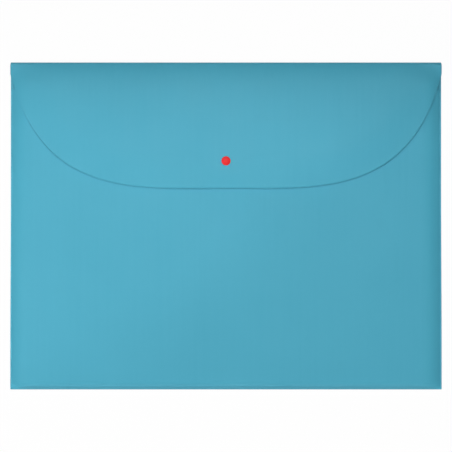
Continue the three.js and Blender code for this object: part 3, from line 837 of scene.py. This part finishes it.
def tinted(tree, amount, start, end):
    """The colour mixed from start to end by amount."""
    mixed = add_node(tree, "ShaderNodeMix", {"Factor": amount}, data_type="RGBA")
    for key, colour in (("A_Color", start), ("B_Color", end)):
        socket_in = next(s for s in mixed.inputs if s.identifier == key)
        if isinstance(colour, bpy.types.NodeSocket):
            tree.links.new(colour, socket_in)
        else:
            socket_in.default_value = (*colour, 1)
    return next(s for s in mixed.outputs if s.identifier == "Result_Color")


def plastic(name, look):
    """The material: colour drift and streaks, marked creases and cut edges, painted rim shade, gloss and
    grain.
    """
    material = bpy.data.materials.new(name)
    material.use_nodes = True
    tree = material.node_tree
    shader = tree.nodes["Principled BSDF"]
    place = tree.nodes.new("ShaderNodeTexCoord").outputs["Object"]
    along = add_node(tree, "ShaderNodeMapping", {"Vector": place, "Scale": look["streak_stretch"]})
    crease = add_node(tree, "ShaderNodeAttribute", {}, attribute_name="crease").outputs["Fac"]
    cut_and_rim_shade = add_node(tree, "ShaderNodeAttribute", {}, attribute_name="cut_and_rim_shade").outputs["Fac"]

    drift = grouped(tree, uneven, {"Vector": place, "Size": look["drift_size"], "Low": 0.0, "High": 1.0})
    streaks = grouped(tree, uneven, {
        "Vector": along.outputs[0], "Size": look["streak_size"], "Low": 0.0, "High": 1.0})
    colour = tinted(tree, drift, look["colour"], look["colour_drift"])
    faint = add_node(tree, "ShaderNodeMath", {0: streaks, 1: look["streak_tint"]}, operation="MULTIPLY")
    colour = tinted(tree, faint.outputs[0], colour, look["colour_streak"])
    paled = grouped(tree, edge_wear_and_shade, {"Vector": place, "Edge": crease, "Amount": look["crease_tint"]})
    colour = tinted(tree, paled, colour, look["colour_worn_and_rim_shade"])
    # On the sheet this mix pales the cut edges; on the stud it darkens the rim as painted shade.
    scuffed_and_rim_shade = grouped(tree, edge_wear_and_shade, {"Vector": place, "Edge": cut_and_rim_shade, "Amount": look["cut_and_rim_shade_tint"]})
    colour = tinted(tree, scuffed_and_rim_shade, colour, look["colour_worn_and_rim_shade"])
    tree.links.new(colour, shader.inputs["Base Color"])

    satin = grouped(tree, uneven, {
        "Vector": place, "Size": look["satin_size"], "Low": look["roughness"] - look["satin_spread"],
        "High": look["roughness"] + look["satin_spread"]})
    streaked = add_node(
        tree, "ShaderNodeMath", {0: streaks, 1: look["streak_gloss"], 2: satin}, operation="MULTIPLY_ADD")
    tree.links.new(streaked.outputs[0], shader.inputs["Roughness"])

    height = grouped(tree, grain, {"Vector": place, "Size": look["grain_size"]})
    relief = add_node(tree, "ShaderNodeBump", {
        "Height": height, "Strength": look["grain_strength"], "Distance": look["grain_depth"]})
    tree.links.new(relief.outputs["Normal"], shader.inputs["Normal"])
    shader.inputs["IOR"].default_value = 1.49
    shader.inputs["Specular IOR Level"].default_value = look["shine"]
    return material


# %% [markdown]
# The sheet is opaque polypropylene, rolled with a fine satin texture. Its colour is a teal that
# drifts very slightly from place to place, faint streaks run the way it was rolled, the creases
# are a touch paler where the score stretched it, and the cut edges are paler still. The stud is
# injection moulded in a red plastic with more gloss and a finer grain. Its rim is painted a darker
# red, as shade where it rounds away from the light.

# %% The two plastics
teal = plastic("teal_polypropylene", {
    "colour": (0.078, 0.410, 0.560), "colour_drift": (0.084, 0.427, 0.579), "drift_size": 0.070,
    "colour_streak": (0.092, 0.441, 0.594), "streak_size": 0.0025, "streak_tint": 0.25,
    "streak_stretch": (1, 0.025, 1), "streak_gloss": -0.03,
    "colour_worn_and_rim_shade": (0.30, 0.62, 0.74), "crease_tint": 0.22, "cut_and_rim_shade_tint": 0.45,
    "roughness": 0.46, "satin_size": 0.022, "satin_spread": 0.03,
    "grain_size": 0.00035, "grain_strength": 0.35, "grain_depth": 0.00004, "shine": 0.1,
})
red = plastic("red_moulded_plastic", {
    "colour": (0.81, 0.020, 0.022), "colour_drift": (0.86, 0.026, 0.026), "drift_size": 0.004,
    "colour_streak": (0.77, 0.019, 0.021), "streak_size": 0.0012, "streak_tint": 0.4,
    "streak_stretch": (1, 1, 0.4), "streak_gloss": 0.04,
    # On the stud the worn colour and the cut tint darken its rim: painted shade, not wear.
    "colour_worn_and_rim_shade": (0.55, 0.015, 0.018), "crease_tint": 0.0, "cut_and_rim_shade_tint": 0.5,
    "roughness": 0.30, "satin_size": 0.002, "satin_spread": 0.04,
    "grain_size": 0.00012, "grain_strength": 0.25, "grain_depth": 0.00002, "shine": 0.14,
})
sheets = [back, front, gusset, left_bead, right_bead, flap, fold, spine, back_fold]
studs = [cap, socket, stud, backing]
for piece in sheets:
    piece.data.materials.append(teal)
for piece in studs:
    piece.data.materials.append(red)
print("materials", teal.name, red.name)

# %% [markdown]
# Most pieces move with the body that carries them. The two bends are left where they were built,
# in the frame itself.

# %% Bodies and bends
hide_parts("back_panel")
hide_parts("front_panel")
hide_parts("base_strip")
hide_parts("left_weld_seam")
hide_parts("right_weld_seam")
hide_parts("spine_strip")
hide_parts("flap_panel")
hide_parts("snap_cap")
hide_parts("snap_socket")
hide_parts("snap_stud")
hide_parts("snap_stud_post")
for piece in (back, front, gusset, left_bead, right_bead, stud, backing):
    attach(piece, "pocket")
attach(spine, "spine")
for piece in (flap, cap, socket):
    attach(piece, "flap")


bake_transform(back_fold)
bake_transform(fold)
print("pieces", len(sheets) + len(studs))

# %% [markdown]
# The wallet lies on a white table. A matt white would come out grey under a light that is right for
# the wallet, so the camera and the reflections see mostly a glow of strength 1, and a little of the
# matt white, which keeps the wallet's faint shadow. All other light meets the matt white alone.

# %% The table
FLOOR_SIZE = 3.0
FLOOR_DROP = 0.05 * MM
FLOOR_GLOW = 0.97


def seen_or_mirrored(tree):
    """1 for rays from the camera, a gloss or a clear material, and 0 for the light itself."""
    path = tree.nodes.new("ShaderNodeLightPath").outputs
    first = add_node(
        tree, "ShaderNodeMath", {0: path["Is Camera Ray"], 1: path["Is Glossy Ray"]}, operation="MAXIMUM")
    return add_node(
        tree, "ShaderNodeMath", {0: first.outputs[0], 1: path["Is Transmission Ray"]},
        operation="MAXIMUM").outputs[0]


floor_mesh = bpy.data.meshes.new("table")
side = FLOOR_SIZE / 2
floor_corners = [(x * side, y * side, -FLOOR_DROP) for x, y in ((-1, -1), (1, -1), (1, 1), (-1, 1))]
floor_mesh.from_pydata(floor_corners, [], [(0, 1, 2, 3)])
floor = bpy.data.objects.new("table", floor_mesh)
bpy.context.scene.collection.objects.link(floor)

white = bpy.data.materials.new("white_table")
white.use_nodes = True
tree = white.node_tree
tree.nodes.clear()
matt = add_node(tree, "ShaderNodeBsdfDiffuse", {"Color": (0.9, 0.9, 0.9, 1)})
glow = add_node(tree, "ShaderNodeEmission", {"Color": (1, 1, 1, 1), "Strength": 1.0})
glow_share = add_node(
    tree, "ShaderNodeMath", {0: seen_or_mirrored(tree), 1: FLOOR_GLOW}, operation="MULTIPLY")
surface = add_node(tree, "ShaderNodeMixShader", {
    0: glow_share.outputs[0], 1: matt.outputs[0], 2: glow.outputs[0]})
add_node(tree, "ShaderNodeOutputMaterial", {"Surface": surface.outputs[0]})
floor_mesh.materials.append(white)
print("table", FLOOR_SIZE, "m wide")

# %% [markdown]
# The light is that of a soft studio. A broad lamp overhead and a smaller one behind the top fold
# throw the thin shadow along the flap's edge. A lamp far out in front leaves the top bend, which
# faces away from it, darker. A small one near the left makes the light fall off towards the right.
# Two spot lamps are there for the edges of their cones: one fades the light towards the top, and
# the other draws a faint slanting step in it.

# %% Lamps and world
SPOT_RADIUS = 0.03


def hang_lamp(lamp_data, watts, place, target):
    """Puts the lamp at a place, turned to its target."""
    lamp_data.energy = watts
    lamp = bpy.data.objects.new(lamp_data.name, lamp_data)
    lamp.location = place
    lamp.rotation_mode = "QUATERNION"
    lamp.rotation_quaternion = (Vector(target) - Vector(place)).to_track_quat("-Z", "Y")
    bpy.context.scene.collection.objects.link(lamp)
    print(lamp_data.name, watts, "W")


def soft_box(name, place, size, watts):
    """A square lamp that shines on the wallet from a place."""
    lamp_data = bpy.data.lights.new(name, "AREA")
    lamp_data.shape = "SQUARE"
    lamp_data.size = size
    hang_lamp(lamp_data, watts, place, (0, 0, 0))


def soft_spot(name, place, target, watts, cone, blend):
    """A spot lamp whose cone, in degrees, fades over a share of its width."""
    lamp_data = bpy.data.lights.new(name, "SPOT")
    lamp_data.spot_size = math.radians(cone)
    lamp_data.spot_blend = blend
    lamp_data.shadow_soft_size = SPOT_RADIUS
    hang_lamp(lamp_data, watts, place, target)


soft_box("broad_lamp", (0, 0, 1.5), 2.4, 4.9)
soft_box("back_lamp", (0, 0.5, 1.4), 0.5, 6.2)
soft_box("front_lamp", (0, -2.6, 1.8), 0.9, 27)
soft_box("left_lamp", (-0.45, -0.1, 0.55), 0.3, 1.0)
soft_spot("flagged_lamp", (0, 0.2, 1.4), (-0.05, -1.5, 0), 12.2, 95.6, 0.1)
soft_spot("slanting_lamp", (0.02, -0.02, 1.4), (-0.42, 0.50, 0), 4.4, 53, 0.1)

world = bpy.data.worlds.new("studio")
world.use_nodes = True
tree = world.node_tree
tree.nodes.clear()
soft = add_node(tree, "ShaderNodeBackground", {"Color": (0.95, 0.97, 1, 1), "Strength": 0.05})
bright = add_node(tree, "ShaderNodeBackground", {"Color": (1, 1, 1, 1), "Strength": 1.0})
surface = add_node(tree, "ShaderNodeMixShader", {
    0: seen_or_mirrored(tree), 1: soft.outputs[0], 2: bright.outputs[0]})
add_node(tree, "ShaderNodeOutputWorld", {"Surface": surface.outputs[0]})
bpy.context.scene.world = world
bpy.context.scene.view_settings.view_transform = "Standard"
